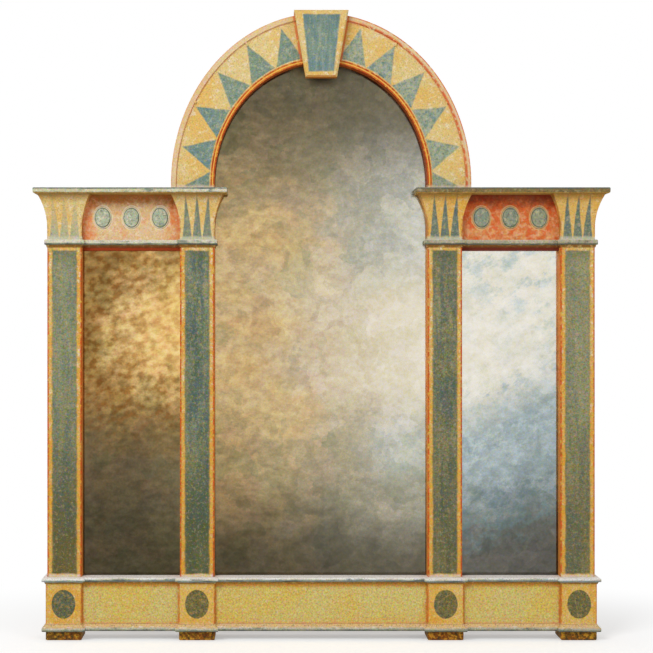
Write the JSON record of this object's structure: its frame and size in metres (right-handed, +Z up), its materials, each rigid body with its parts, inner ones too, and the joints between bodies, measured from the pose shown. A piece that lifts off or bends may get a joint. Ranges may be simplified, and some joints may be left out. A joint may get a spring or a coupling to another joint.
{
  "type": "overmantel mirror",
  "caption": "Painted wooden overmantel mirror in bays with pilasters, flared capitals, cornices, an oval-topped arch with keystone, antiqued plates and hanging rings.",
  "frame": {"origin": "middle of the footprint, at the underside of the feet", "axes": "+Z up, -Y to the front where the mirror faces, +Y to the wall, +X to the right as seen from the front"},
  "size_m": [1.49, 0.098, 1.631],
  "materials": {
    "ochre_paint": "worn matt paint on wood",
    "verdigris_paint": "worn matt paint on wood",
    "red_paint": "worn matt paint on wood",
    "mirror_glass": "antiqued silvering",
    "backing_board": "bare board",
    "bare_wood": "bare softwood",
    "steel": "zinc plated"
  },
  "bodies": {
    "frame": {"arch_crown_left": "ochre_paint", "arch_crown_right": "ochre_paint", "arch_haunch_left": "ochre_paint", "arch_haunch_right": "ochre_paint", "arch_springer_left": "ochre_paint", "arch_springer_right": "ochre_paint", "backboard_centre": "backing_board", "backboard_left": "backing_board", "backboard_right": "backing_board", "base_back_rail": "bare_wood", "base_beam": "ochre_paint", "base_ledge": "verdigris_paint", "base_moulding": "verdigris_paint", "capital_inner_left": "ochre_paint", "capital_inner_right": "ochre_paint", "capital_outer_left": "ochre_paint", "capital_outer_right": "ochre_paint", "cornice_left": "verdigris_paint", "cornice_right": "verdigris_paint", "foot_inner_left": "ochre_paint", "foot_inner_right": "ochre_paint", "foot_outer_left": "ochre_paint", "foot_outer_right": "ochre_paint", "frieze_board_left": "red_paint", "frieze_board_right": "red_paint", "hanger_screws": "steel", "hanger_strap_left": "steel", "hanger_strap_right": "steel", "keystone": "ochre_paint", "mirror_plate_centre": "mirror_glass", "mirror_plate_left": "mirror_glass", "mirror_plate_right": "mirror_glass", "necking_left": "verdigris_paint", "necking_right": "verdigris_paint", "patera_inner_left": "verdigris_paint", "patera_inner_right": "verdigris_paint", "patera_middle_left": "verdigris_paint", "patera_middle_right": "verdigris_paint", "patera_outer_left": "verdigris_paint", "patera_outer_right": "verdigris_paint", "pilaster_inner_left": "ochre_paint", "pilaster_inner_right": "ochre_paint", "pilaster_outer_left": "ochre_paint", "pilaster_outer_right": "ochre_paint", "plinth_block_inner_left": "ochre_paint", "plinth_block_inner_right": "ochre_paint", "plinth_block_outer_left": "ochre_paint", "plinth_block_outer_right": "ochre_paint", "retaining_beads_centre": "bare_wood", "retaining_beads_left": "bare_wood", "retaining_beads_right": "bare_wood", "stile_inner_left": "bare_wood", "stile_inner_right": "bare_wood", "stile_outer_left": "bare_wood", "stile_outer_right": "bare_wood", "top_rail_left": "bare_wood", "top_rail_right": "bare_wood"},
    "ring_left": {"hanger_ring_left": "steel"},
    "ring_right": {"hanger_ring_right": "steel"}
  },
  "joints": [
    {"name": "ring_left_swing", "type": "hinge", "parent": "frame", "child": "ring_left", "pos_m": [-0.4945, 0.0432, 1.109], "axis": [1, 0, 0], "range_deg": [0, 180]},
    {"name": "ring_right_swing", "type": "hinge", "parent": "frame", "child": "ring_right", "pos_m": [0.4945, 0.0432, 1.109], "axis": [1, 0, 0], "range_deg": [0, 180]}
  ]
}
